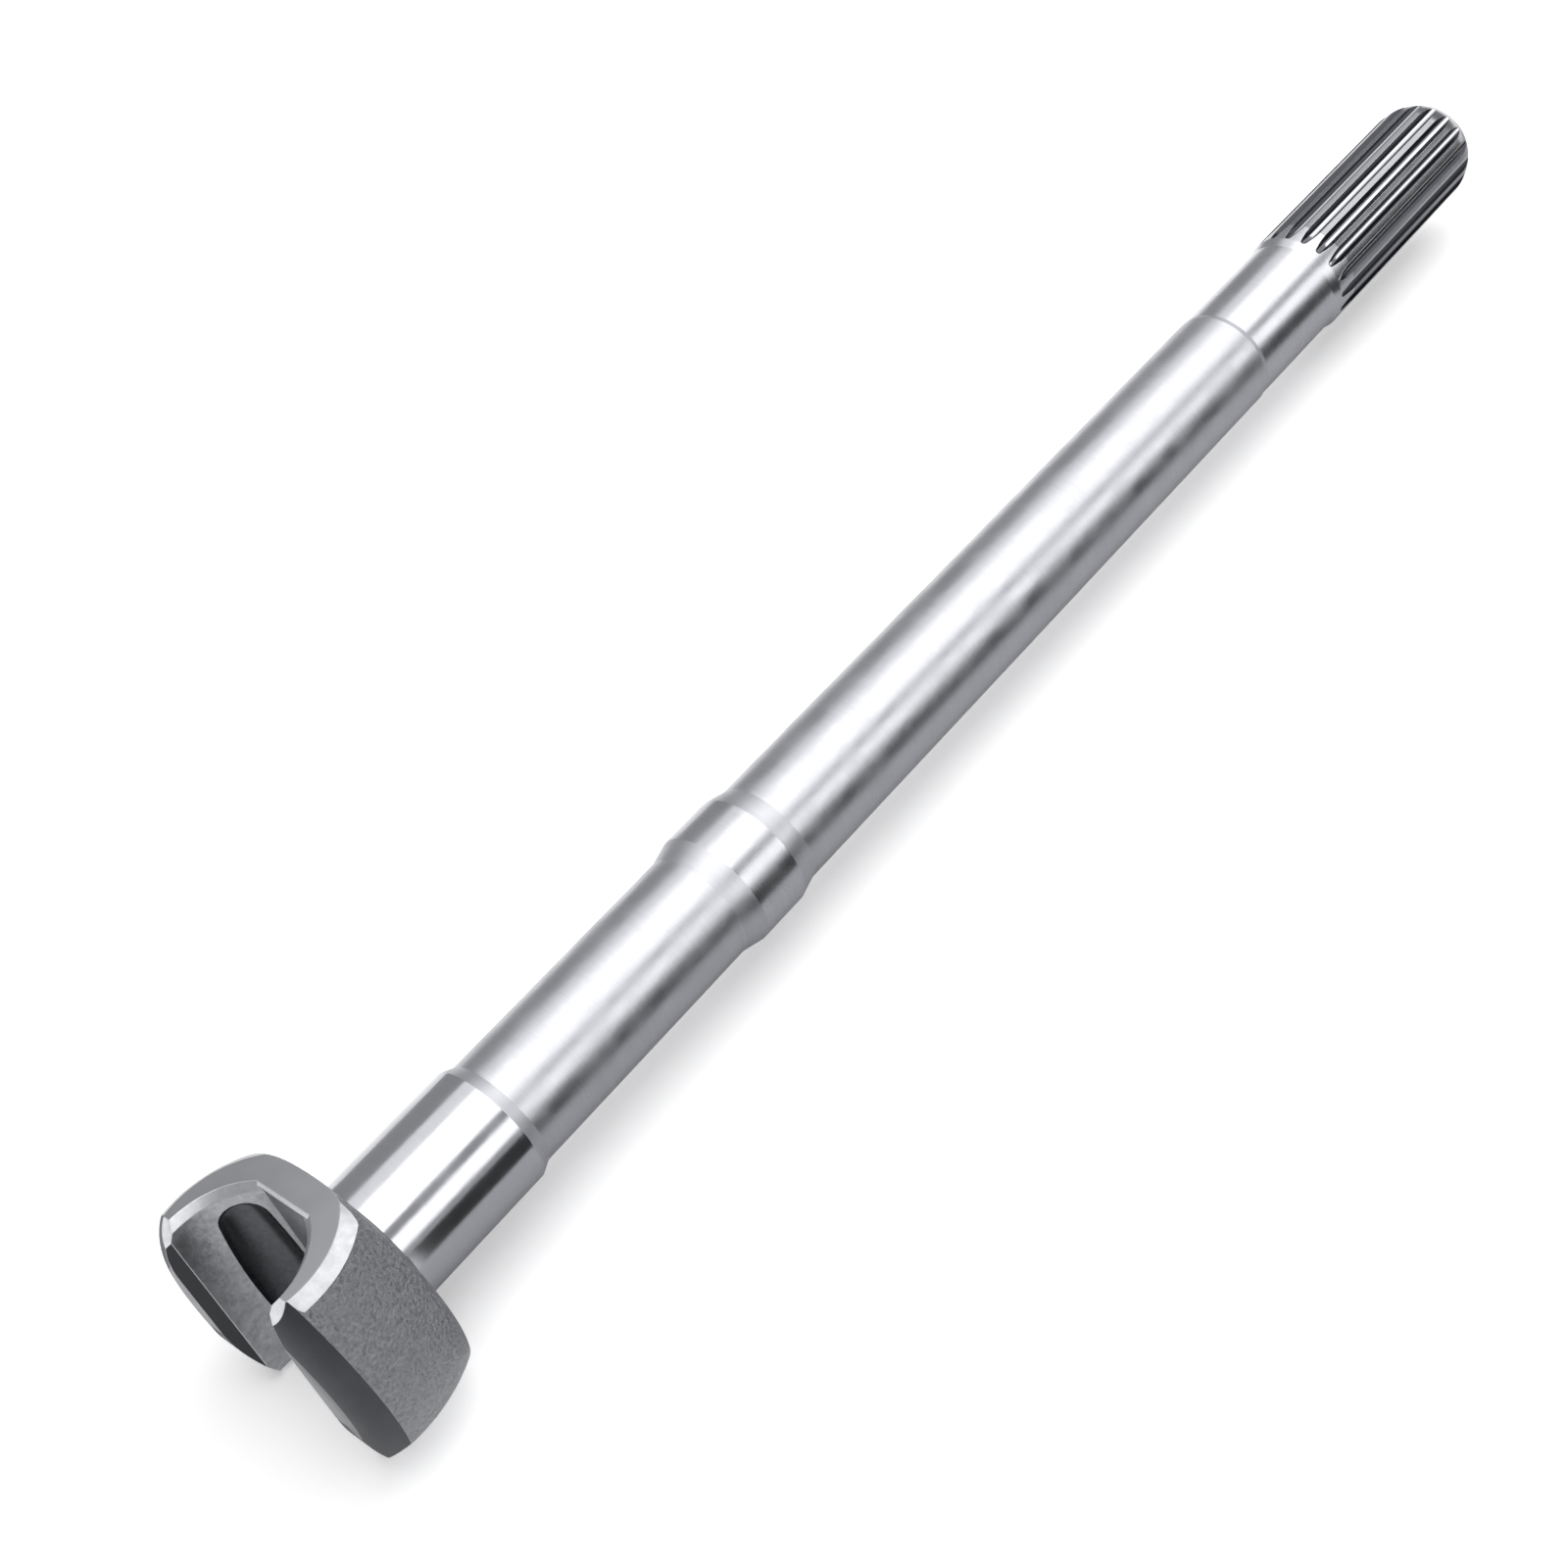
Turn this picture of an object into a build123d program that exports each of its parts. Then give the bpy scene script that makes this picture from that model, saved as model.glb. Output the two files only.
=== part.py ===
from build123d import *
import math
import os

# Axle shaft: one forging, turned, milled and ground. Sizes in millimetres.
# X runs along the shaft from the jaw head to the spline, Z is the axis of the cross bore.
# The origin is where the axis of the cross bore crosses the axis of the shaft.

# Jaw head: a ball turned round the shaft axis, with two milled flats and rounded jaw ends
HEAD_BALL_RADIUS = 62.9
HEAD_BALL_X = 8.0
JAW_FRONT_X = -9.0
JAW_FRONT_RADIUS = 43.0
JAW_EDGE_X = 1.5
JAW_EDGE_ROUND = 3.5
JAW_TIP_BEVEL_X = 0.5
JAW_TIP_BEVEL_ANGLE = 47.0
JAW_UNDERCUT_START_Z = -10.0
JAW_UNDERCUT_END_X = 1.0
JAW_UNDERCUT_RADIUS = 70.0
HEAD_BACK_X = 41.0
HEAD_BACK_HOLLOW = 2.0
HEAD_BACK_ROUND = 9.0
NECK_ROUND = 4.0
TOP_FLAT_Z = 50.0
TOP_RIM_RADIUS = 37.6
TOP_BEVEL_ANGLE = 37.0
UNDER_FLAT_Z = 44.0
UNDER_RIM_RADIUS = 36.0
UNDER_BEVEL_ANGLE = 45.0

# Cross bore and what is cut in its wall
BORE_DIAMETER = 60.0
BORE_CHAMFER = 3.0
LAND_X = 27.9
LAND_BEVEL = 1.3
MOUTH_BEVEL_LENGTH = 4.5
MOUTH_BEVEL_ANGLE = 50.0
POCKET_ANGLE = 48.5
POCKET_DEPTH = 6.0
POCKET_RADIUS = 12.5
POCKET_END_RADIUS = 10.0
POCKET_END_ROUND = 8.5
POCKET_TOP_GAP = 6.5
POCKET_UNDER_GAP = 5.5

# Shaft diameters
BUSH_JOURNAL_DIAMETER = 55.0
SHAFT_DIAMETER = 50.0
SEAL_COLLAR_DIAMETER = 55.0
RELIEF_DIAMETER = 49.0

# Where each length of the shaft ends
BUSH_JOURNAL_END_X = 107.9
FIRST_LENGTH_START_X = 113.5
FIRST_LENGTH_END_X = 230.3
SEAL_COLLAR_START_X = 240.4
SEAL_COLLAR_END_X = 263.8
SECOND_LENGTH_START_X = 273.6
SECOND_LENGTH_END_X = 611.6
RELIEF_START_X = 614.2
RELIEF_END_X = 673.0
SPLINE_START_X = 677.5
SHAFT_END_X = 806.5

# External spline: 30 degree involute flanks, cut with a round cutter
SPLINE_TEETH = 19
SPLINE_MODULE = 2.5
SPLINE_PRESSURE_ANGLE = 30.0
SPLINE_TIP_DIAMETER = 51.5
SPLINE_ROOT_DIAMETER = 46.5
SPLINE_TOOTH_WIDTH = 4.94
SPLINE_ROOT_ROUND = 1.0
SPLINE_CUTTER_RADIUS = 35.0
NOSE_LENGTH = 15.0
NOSE_RADIUS = 25.0

# Centre hole the shaft was turned and ground on
CENTRE_DRILL_DIAMETER = 4.0
CENTRE_MOUTH_DIAMETER = 8.5
CENTRE_DRILL_DEPTH = 12.0
CENTRE_ANGLE = 60.0

# Length by which a cutting solid runs past the metal it cuts
PAST = 2.0

bore_radius = BORE_DIAMETER / 2
tip_radius = SPLINE_TIP_DIAMETER / 2
root_radius = SPLINE_ROOT_DIAMETER / 2


def ball_radius_at(x):
    """Distance from the shaft axis to the ball-shaped outside of the head at x."""
    return math.sqrt(HEAD_BALL_RADIUS**2 - (x - HEAD_BALL_X) ** 2)


def turned_blank():
    """The forging turned round the shaft axis, before any cut across it."""
    flat_end = (JAW_FRONT_X, JAW_FRONT_RADIUS)
    edge = (JAW_EDGE_X, ball_radius_at(JAW_EDGE_X))
    journal_radius = BUSH_JOURNAL_DIAMETER / 2
    shaft_radius = SHAFT_DIAMETER / 2
    collar_radius = SEAL_COLLAR_DIAMETER / 2
    relief_radius = RELIEF_DIAMETER / 2
    back = (HEAD_BACK_X, ball_radius_at(HEAD_BACK_X))
    neck = (HEAD_BACK_X + HEAD_BACK_HOLLOW, journal_radius)
    nose_start_x = SHAFT_END_X - NOSE_LENGTH
    nose_drop = NOSE_RADIUS - math.sqrt(NOSE_RADIUS**2 - NOSE_LENGTH**2)
    nose_mid_drop = NOSE_RADIUS - math.sqrt(NOSE_RADIUS**2 - NOSE_LENGTH**2 / 4)
    end_radius = tip_radius - nose_drop

    front = Line((JAW_FRONT_X, 0), flat_end)
    crown = TangentArc(flat_end, edge, tangent=(0, 1))
    ball = ThreePointArc(edge, (HEAD_BALL_X, HEAD_BALL_RADIUS), back)
    steps = Polyline(
        back,
        neck,
        (BUSH_JOURNAL_END_X, journal_radius),
        (FIRST_LENGTH_START_X, shaft_radius),
        (FIRST_LENGTH_END_X, shaft_radius),
        (SEAL_COLLAR_START_X, collar_radius),
        (SEAL_COLLAR_END_X, collar_radius),
        (SECOND_LENGTH_START_X, shaft_radius),
        (SECOND_LENGTH_END_X, shaft_radius),
        (RELIEF_START_X, relief_radius),
        (RELIEF_END_X, relief_radius),
        (SPLINE_START_X, tip_radius),
        (nose_start_x, tip_radius),
    )
    nose = ThreePointArc(
        (nose_start_x, tip_radius),
        (nose_start_x + NOSE_LENGTH / 2, tip_radius - nose_mid_drop),
        (SHAFT_END_X, end_radius),
    )
    end = Polyline((SHAFT_END_X, end_radius), (SHAFT_END_X, 0), (JAW_FRONT_X, 0))
    section = make_face([front, crown, ball, steps, nose, end])

    for corner, radius in ((edge, JAW_EDGE_ROUND), (back, HEAD_BACK_ROUND), (neck, NECK_ROUND)):
        vertex = section.vertices().sort_by_distance((corner[0], corner[1], 0))[0]
        section = fillet(vertex, radius)
    return revolve(section, Axis.X, 360)


def flat_cut(flat_z, rim_radius, bevel_angle):
    """What is milled off the head above one flat, with a bevel turned round the flat's rim."""
    reach = HEAD_BALL_RADIUS + PAST
    drop = (reach - rim_radius) * math.tan(math.radians(bevel_angle))
    section = Plane.XZ * make_face(
        Polyline(
            (0, flat_z),
            (rim_radius, flat_z),
            (reach, flat_z - drop),
            (reach, reach),
            (0, reach),
            (0, flat_z),
        )
    )
    milled = Pos(HEAD_BALL_X, 0, 0) * revolve(section, Axis.Z, 360)
    width = 2 * reach
    head_space = Box(2 * width, width, width, align=(Align.MAX, Align.CENTER, Align.CENTER))
    return milled & Pos(HEAD_BACK_X + HEAD_BACK_ROUND, 0, 0) * head_space


def jaw_end_cuts():
    """What is milled off across the jaw ends: a bevel over the tips and a long round below."""
    clear_x = JAW_FRONT_X - PAST
    slope = math.tan(math.radians(JAW_TIP_BEVEL_ANGLE))
    high = (JAW_TIP_BEVEL_X + PAST, TOP_FLAT_Z + PAST * slope)
    low = (clear_x, TOP_FLAT_Z - (JAW_TIP_BEVEL_X - clear_x) * slope)
    tips = make_face(Polyline(high, low, (clear_x, high[1]), high))
    start = (JAW_FRONT_X, JAW_UNDERCUT_START_Z)
    end = (JAW_UNDERCUT_END_X, -UNDER_FLAT_Z - PAST)
    below = make_face(
        [
            RadiusArc(start, end, -JAW_UNDERCUT_RADIUS),
            Polyline(end, (clear_x, end[1]), (clear_x, start[1]), start),
        ]
    )
    return [extrude(Plane.XZ * face, HEAD_BALL_RADIUS + PAST, both=True) for face in (tips, below)]


def bore_cut():
    """Cross bore with a chamfer at each flat, left standing as a flat land at its bottom."""
    top = TOP_FLAT_Z + PAST
    under = -UNDER_FLAT_Z - PAST
    section = Plane.XZ * make_face(
        Polyline(
            (0, under),
            (bore_radius + BORE_CHAMFER + PAST, under),
            (bore_radius, -UNDER_FLAT_Z + BORE_CHAMFER),
            (bore_radius, TOP_FLAT_Z - BORE_CHAMFER),
            (bore_radius + BORE_CHAMFER + PAST, top),
            (0, top),
            (0, under),
        )
    )
    round_cut = revolve(section, Axis.Z, 360)
    reach = BORE_DIAMETER
    side = Plane.XZ * make_face(
        Polyline(
            (-reach, under),
            (LAND_X + LAND_BEVEL + PAST, under),
            (LAND_X, -UNDER_FLAT_Z + LAND_BEVEL),
            (LAND_X, TOP_FLAT_Z - LAND_BEVEL),
            (LAND_X + LAND_BEVEL + PAST, top),
            (-reach, top),
            (-reach, under),
        )
    )
    return round_cut & extrude(side, reach, both=True)


def mouth_cut():
    """Bevel where the wall of the bore comes out at the ends of both jaws."""
    inner_x = JAW_FRONT_X + MOUTH_BEVEL_LENGTH
    inner_y = math.sqrt(bore_radius**2 - inner_x**2)
    outer_x = JAW_FRONT_X - PAST
    outer_y = inner_y + (inner_x - outer_x) * math.tan(math.radians(MOUTH_BEVEL_ANGLE))
    section = make_face(
        Polyline(
            (outer_x, -outer_y),
            (inner_x, -inner_y),
            (inner_x, inner_y),
            (outer_x, outer_y),
            (outer_x, -outer_y),
        )
    )
    return extrude(section, max(TOP_FLAT_Z, UNDER_FLAT_Z) + PAST, both=True)


def pocket_cuts():
    """Two relief pockets with blunt ends in the wall of the bore, one each side of the land."""
    axis_distance = bore_radius + POCKET_DEPTH - POCKET_RADIUS
    top_z = TOP_FLAT_Z - POCKET_TOP_GAP
    under_z = -UNDER_FLAT_Z + POCKET_UNDER_GAP
    low = (POCKET_END_RADIUS, under_z)
    high = (POCKET_END_RADIUS, top_z)
    section = Plane.XZ * make_face(
        [
            ThreePointArc(low, (POCKET_RADIUS, (top_z + under_z) / 2), high),
            Polyline(high, (0, top_z), (0, under_z), low),
        ]
    )
    corners = section.vertices().sort_by(Axis.X)[-2:]
    spindle = revolve(fillet(corners, POCKET_END_ROUND), Axis.Z, 360)
    cuts = []
    for angle in (POCKET_ANGLE, -POCKET_ANGLE):
        x = axis_distance * math.cos(math.radians(angle))
        y = axis_distance * math.sin(math.radians(angle))
        cuts.append(Pos(x, y, 0) * spindle)
    return cuts


def involute(angle):
    """Involute function of a pressure angle in radians."""
    return math.tan(angle) - angle


def flute_section():
    """One space between two spline teeth, drawn across the shaft with its middle on +Z."""
    pitch_diameter = SPLINE_MODULE * SPLINE_TEETH
    pressure = math.radians(SPLINE_PRESSURE_ANGLE)
    base_radius = pitch_diameter / 2 * math.cos(pressure)
    space_at_pitch = math.pi / SPLINE_TEETH - SPLINE_TOOTH_WIDTH / pitch_diameter

    def flank(radius):
        turned = involute(math.acos(base_radius / radius)) - involute(pressure)
        angle = space_at_pitch + turned
        return (radius * math.sin(angle), radius * math.cos(angle))

    outside = flank(tip_radius + 1)
    middle = flank((tip_radius + root_radius) / 2)
    bottom = flank(root_radius + 0.2)
    root = (0, root_radius)
    left = [(-outside[0], outside[1]), (-middle[0], middle[1]), (-bottom[0], bottom[1])]
    section = make_face(
        [
            ThreePointArc(outside, middle, bottom),
            ThreePointArc(bottom, root, left[2]),
            ThreePointArc(left[2], left[1], left[0]),
            Line(left[0], outside),
        ]
    )
    corners = section.vertices().sort_by(Axis.Y)[:2]
    return fillet(corners, SPLINE_ROOT_ROUND)


def flute_cut():
    """One spline space: straight to the nose, rising out of the shaft on the cutter radius."""
    depth = tip_radius - root_radius
    run_out = math.sqrt(2 * SPLINE_CUTTER_RADIUS * depth - depth**2)
    full_depth_x = SPLINE_START_X + run_out
    across = Plane(origin=(full_depth_x, 0, 0), x_dir=(0, 1, 0), z_dir=(1, 0, 0))
    section = across * flute_section()
    straight = extrude(section, SHAFT_END_X + PAST - full_depth_x)
    cutter_axis = Axis((full_depth_x, 0, root_radius + SPLINE_CUTTER_RADIUS), (0, 1, 0))
    rise = revolve(section, cutter_axis, 40)
    return straight + rise


def centre_cut():
    """Drilled centre hole with its coned mouth in the spline end."""
    mouth_radius = CENTRE_MOUTH_DIAMETER / 2
    drill_radius = CENTRE_DRILL_DIAMETER / 2
    cone_length = (mouth_radius - drill_radius) / math.tan(math.radians(CENTRE_ANGLE / 2))
    past_radius = mouth_radius + PAST * math.tan(math.radians(CENTRE_ANGLE / 2))
    section = make_face(
        Polyline(
            (SHAFT_END_X + PAST, 0),
            (SHAFT_END_X + PAST, past_radius),
            (SHAFT_END_X - cone_length, drill_radius),
            (SHAFT_END_X - CENTRE_DRILL_DEPTH, drill_radius),
            (SHAFT_END_X - CENTRE_DRILL_DEPTH - drill_radius / 2, 0),
            (SHAFT_END_X + PAST, 0),
        )
    )
    return revolve(section, Axis.X, 360)


shaft = turned_blank()
shaft = shaft - flat_cut(TOP_FLAT_Z, TOP_RIM_RADIUS, TOP_BEVEL_ANGLE)
shaft = shaft - mirror(flat_cut(UNDER_FLAT_Z, UNDER_RIM_RADIUS, UNDER_BEVEL_ANGLE), Plane.XY)
shaft = shaft - bore_cut()
shaft = shaft - mouth_cut()
for cut in jaw_end_cuts() + pocket_cuts():
    shaft = shaft - cut

flute = flute_cut()
flutes = [Rot(360 * i / SPLINE_TEETH, 0, 0) * flute for i in range(SPLINE_TEETH)]
shaft = shaft.cut(*flutes)
shaft = shaft - centre_cut()

solids = shaft.solids()
print("solids", len(solids), "volume", round(solids[0].volume), "box", solids[0].bounding_box())

os.makedirs("parts", exist_ok=True)
export_step(solids[0], "parts/axle_shaft.step")
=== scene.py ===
import math

import bmesh
import bpy
from mathutils import Matrix, Vector


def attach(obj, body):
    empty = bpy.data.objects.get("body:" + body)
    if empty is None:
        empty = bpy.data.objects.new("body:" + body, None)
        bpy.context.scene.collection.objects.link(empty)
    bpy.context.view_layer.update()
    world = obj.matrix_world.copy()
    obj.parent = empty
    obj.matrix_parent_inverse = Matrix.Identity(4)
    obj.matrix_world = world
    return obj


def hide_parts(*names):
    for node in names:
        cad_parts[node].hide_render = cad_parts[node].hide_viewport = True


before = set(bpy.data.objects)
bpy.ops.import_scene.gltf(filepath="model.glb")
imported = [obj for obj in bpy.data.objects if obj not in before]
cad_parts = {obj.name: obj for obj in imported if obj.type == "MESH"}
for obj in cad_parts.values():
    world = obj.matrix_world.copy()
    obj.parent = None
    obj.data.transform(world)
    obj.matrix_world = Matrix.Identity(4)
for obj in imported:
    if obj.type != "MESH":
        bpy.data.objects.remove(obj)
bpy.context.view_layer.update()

# Camera
# A view from above the open side of the jaws, along the shaft as it goes away to the upper
# right. It is as wide as a 54 mm lens on full frame, and rolled to follow the photograph.
MM = 0.001
CAMERA_PLACE = Vector((-123.7, -605.3, 626.8)) * MM
CAMERA_AIM = Vector((295.9, 6.9, 6.8)) * MM
CAMERA_ROLL = math.radians(22.26)
camera_data = bpy.data.cameras.new("camera")
camera_data.lens = 54.0
camera_data.sensor_width = 36.0
camera_data.clip_end = 100.0
camera = bpy.data.objects.new("camera", camera_data)
looking = (CAMERA_AIM - CAMERA_PLACE).to_track_quat("-Z", "Y").to_matrix().to_4x4()
aimed = Matrix.Translation(CAMERA_PLACE) @ looking
camera.matrix_world = aimed @ Matrix.Rotation(-CAMERA_ROLL, 4, "Z")
bpy.context.scene.collection.objects.link(camera)
bpy.context.scene.camera = camera

# Forging, turned round its long axis
# One steel forging: a ball-shaped head with a crowned front, then the ground lengths of the
# shaft. Every corner has the small round that turning and grinding leave on it.
BALL_X = 8.0
BALL_RADIUS = 62.9
JAW_FRONT_X = -9.0
JAW_FRONT_RADIUS = 43.0
JAW_EDGE_X = 1.5
JAW_EDGE_ROUND = 3.5
HEAD_BACK_X = 41.0
HEAD_BACK_HOLLOW = 2.0
HEAD_BACK_ROUND = 9.0
NECK_ROUND = 4.0
TURNED_ROUND = 0.6
JOURNAL_RADIUS = 27.5
JOURNAL_END_X = 107.9
SHAFT_RADIUS = 25.0
FIRST_START_X = 113.5
FIRST_END_X = 230.3
COLLAR_RADIUS = 27.5
COLLAR_START_X = 240.4
COLLAR_END_X = 263.8
SECOND_START_X = 273.6
SECOND_END_X = 611.6
RELIEF_RADIUS = 24.5
RELIEF_START_X = 614.2
RELIEF_END_X = 673.0
SPLINE_TIP_RADIUS = 25.75
SPLINE_START_X = 677.5
CREST_START_X = 689.0
SHAFT_END_X = 806.5
NOSE_LENGTH = 15.0
NOSE_RADIUS = 25.0
TURNED_SIDES = 240
CROWN_STEPS = 14
EDGE_STEPS = 5
BALL_STEPS = 48
BACK_STEPS = 8
NOSE_STEPS = 14
# Rings on the two flat ends, and one just inside the nose that keeps the end's shading flat
FRONT_RINGS = (0, 14, 28)
END_RINGS = (8, 0)
END_RIM_RING = 0.5
# Points of the outline closer than this, in mm, count as one, and so do spun ones, in metres
SAME_POINT = 1e-4
SAME_PLACE = 1e-7


def arc(centre, radius, start, end, steps):
    """Points on an arc, with the angles in radians."""
    points = []
    for i in range(steps + 1):
        angle = start + (end - start) * i / steps
        points.append((centre[0] + radius * math.cos(angle), centre[1] + radius * math.sin(angle)))
    return points


def rounded(corners):
    """A line through corners (x, y, round), each corner replaced by an arc of its own round."""
    step_angle = math.radians(9)
    fewest_steps = 3
    points = []
    for i, (x, y, size) in enumerate(corners):
        if size == 0:
            points.append((x, y))
            continue
        corner = Vector((x, y))
        back = (Vector(corners[i - 1][:2]) - corner).normalized()
        ahead = (Vector(corners[(i + 1) % len(corners)][:2]) - corner).normalized()
        half = back.angle(ahead) / 2
        middle = corner + (back + ahead).normalized() * size / math.sin(half)
        first = corner + back * size / math.tan(half) - middle
        last = corner + ahead * size / math.tan(half) - middle
        start = math.atan2(first.y, first.x)
        turn = math.atan2(first.cross(last), first.dot(last))
        points += arc(middle, size, start, start + turn,
                      max(fewest_steps, round(abs(turn) / step_angle)))
    return points


def heading(line):
    """The angle that a flat vector points at."""
    return math.atan2(line.y, line.x)


def solid(name, bm, finish):
    """An object from a closed bmesh, with its faces outwards and in one finish."""
    bmesh.ops.recalc_face_normals(bm, faces=bm.faces)
    mesh = bpy.data.meshes.new(name)
    bm.to_mesh(mesh)
    bm.free()
    mesh.materials.append(finish)
    made = bpy.data.objects.new(name, mesh)
    bpy.context.scene.collection.objects.link(made)
    return made


def spun(name, points, axis, centre, sides, finish):
    """A closed solid made by spinning an outline of (along, away) points round an axis."""
    bm = bmesh.new()
    verts = []
    for along, away in points:
        place = (along, away, 0) if axis == "X" else (away, 0, along)
        verts.append(bm.verts.new(Vector(place) * MM))
    for a, b in zip(verts, verts[1:]):
        bm.edges.new((a, b))
    direction = (1, 0, 0) if axis == "X" else (0, 0, 1)
    bmesh.ops.spin(bm, geom=bm.verts[:] + bm.edges[:], axis=direction, cent=(0, 0, 0),
                   dvec=(0, 0, 0), angle=math.tau, steps=sides, use_merge=True)
    bmesh.ops.remove_doubles(bm, verts=bm.verts, dist=SAME_PLACE)
    bmesh.ops.translate(bm, verts=bm.verts, vec=Vector(centre) * MM)
    return solid(name, bm, finish)


def meeting(first, first_radius, second, second_radius):
    """The upper point where two circles cross."""
    line = second - first
    share = (first_radius**2 - second_radius**2 + line.length_squared) / (2 * line.length_squared)
    height = math.sqrt(first_radius**2 - share**2 * line.length_squared)
    across = Vector((-line.y, line.x)).normalized() * height
    foot = first + line * share
    return max((foot + across, foot - across), key=lambda p: p.y)


def head_outline():
    """Half section of the head: the crowned front, its edge, the ball and the round behind."""
    ball = Vector((BALL_X, 0))
    rise = math.sqrt(BALL_RADIUS**2 - (JAW_EDGE_X - BALL_X) ** 2) - JAW_FRONT_RADIUS
    run = JAW_EDGE_X - JAW_FRONT_X
    crown_radius = (run**2 + rise**2) / (2 * run)
    crown_middle = Vector((JAW_FRONT_X + crown_radius, JAW_FRONT_RADIUS))
    edge_middle = meeting(crown_middle, crown_radius - JAW_EDGE_ROUND,
                          ball, BALL_RADIUS - JAW_EDGE_ROUND)
    crown_turn = heading(edge_middle - crown_middle)
    edge_turn = heading(edge_middle - ball)
    crown = arc(crown_middle, crown_radius, math.pi, crown_turn, CROWN_STEPS)
    edge = arc(edge_middle, JAW_EDGE_ROUND, crown_turn, edge_turn, EDGE_STEPS)

    back_top = Vector((HEAD_BACK_X, math.sqrt(BALL_RADIUS**2 - (HEAD_BACK_X - BALL_X) ** 2)))
    neck = Vector((HEAD_BACK_X + HEAD_BACK_HOLLOW, JOURNAL_RADIUS))
    fall = (neck - back_top).normalized()
    inside = Vector((fall.y, -fall.x))
    offset = back_top + inside * HEAD_BACK_ROUND - ball
    reach = BALL_RADIUS - HEAD_BACK_ROUND
    along = offset.dot(fall)
    travel = -along - math.sqrt(along**2 - offset.dot(offset) + reach**2)
    back_middle = ball + offset + fall * travel
    back_turn = heading(back_middle - ball)
    outside = arc(ball, BALL_RADIUS, edge_turn, back_turn, BALL_STEPS)
    back = arc(back_middle, HEAD_BACK_ROUND, back_turn, heading(-inside), BACK_STEPS)

    front = [(JAW_FRONT_X, radius) for radius in FRONT_RINGS]
    return front + crown + edge[1:] + outside[1:] + back[1:]


def shaft_outline(head_end):
    """Half section of the shaft, from the end of the head's outline to the spline end."""
    nose_x = SHAFT_END_X - NOSE_LENGTH
    nose_drop = NOSE_RADIUS - math.sqrt(NOSE_RADIUS**2 - NOSE_LENGTH**2)
    nose_turn = math.asin(NOSE_LENGTH / NOSE_RADIUS)
    quarter = math.pi / 2
    nose = arc((nose_x, SPLINE_TIP_RADIUS - NOSE_RADIUS), NOSE_RADIUS,
               quarter, quarter - nose_turn, NOSE_STEPS)
    lengths = rounded([
        (*head_end, 0),
        (HEAD_BACK_X + HEAD_BACK_HOLLOW, JOURNAL_RADIUS, NECK_ROUND),
        (JOURNAL_END_X, JOURNAL_RADIUS, TURNED_ROUND),
        (FIRST_START_X, SHAFT_RADIUS, TURNED_ROUND),
        (FIRST_END_X, SHAFT_RADIUS, TURNED_ROUND),
        (COLLAR_START_X, COLLAR_RADIUS, TURNED_ROUND),
        (COLLAR_END_X, COLLAR_RADIUS, TURNED_ROUND),
        (SECOND_START_X, SHAFT_RADIUS, TURNED_ROUND),
        (SECOND_END_X, SHAFT_RADIUS, TURNED_ROUND),
        (RELIEF_START_X, RELIEF_RADIUS, TURNED_ROUND),
        (RELIEF_END_X, RELIEF_RADIUS, TURNED_ROUND),
        (SPLINE_START_X, SPLINE_TIP_RADIUS, TURNED_ROUND),
        (CREST_START_X, SPLINE_TIP_RADIUS, 0),
        (*nose[0], 0),
    ])
    end_radii = (SPLINE_TIP_RADIUS - nose_drop - END_RIM_RING, *END_RINGS)
    return lengths[1:] + nose[1:] + [(SHAFT_END_X, radius) for radius in end_radii]


def blank_outline():
    """Half section of the whole forging, with points that lie on each other left out."""
    head = head_outline()
    line = head + shaft_outline(head[-1])
    following = line[1:] + [(0, 0)]
    return [p for p, q in zip(line, following) if (Vector(p) - Vector(q)).length > SAME_POINT]


def colour(code):
    """An sRGB hex colour such as B8BABD as linear light."""
    parts = [int(code[i:i + 2], 16) / 255 for i in (0, 2, 4)]
    return tuple(c / 12.92 if c <= 0.04045 else ((c + 0.055) / 1.055) ** 2.4
                 for c in parts) + (1.0,)


def add(tree, kind, settings=None, inputs=None):
    """A shader node with its settings, and its inputs set to values or linked to sockets."""
    made = tree.nodes.new(kind)
    for key, value in (settings or {}).items():
        setattr(made, key, value)
    for key, value in (inputs or {}).items():
        if isinstance(value, bpy.types.NodeSocket):
            tree.links.new(value, made.inputs[key])
        else:
            made.inputs[key].default_value = value
    return made


def empty_finish(name):
    """A new material with no nodes, and its node tree."""
    finish = bpy.data.materials.new(name)
    finish.use_nodes = True
    finish.node_tree.nodes.clear()
    return finish, finish.node_tree


# How a grain is stretched: not at all, or in rings round the shaft
EVEN = (1.0, 1.0, 1.0)
RINGS = (1.0, 0.05, 0.05)
# Corners get this lighter grey and gloss: a painted edge highlight, hollow corners too, with rubbed
# wear on the outer ones
EDGE_HIGHLIGHT_AND_WEAR = "DADBDD"
EDGE_HIGHLIGHT_AND_WEAR_ROUGH = 0.3
PATCHES_PER_METRE = 60.0


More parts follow.
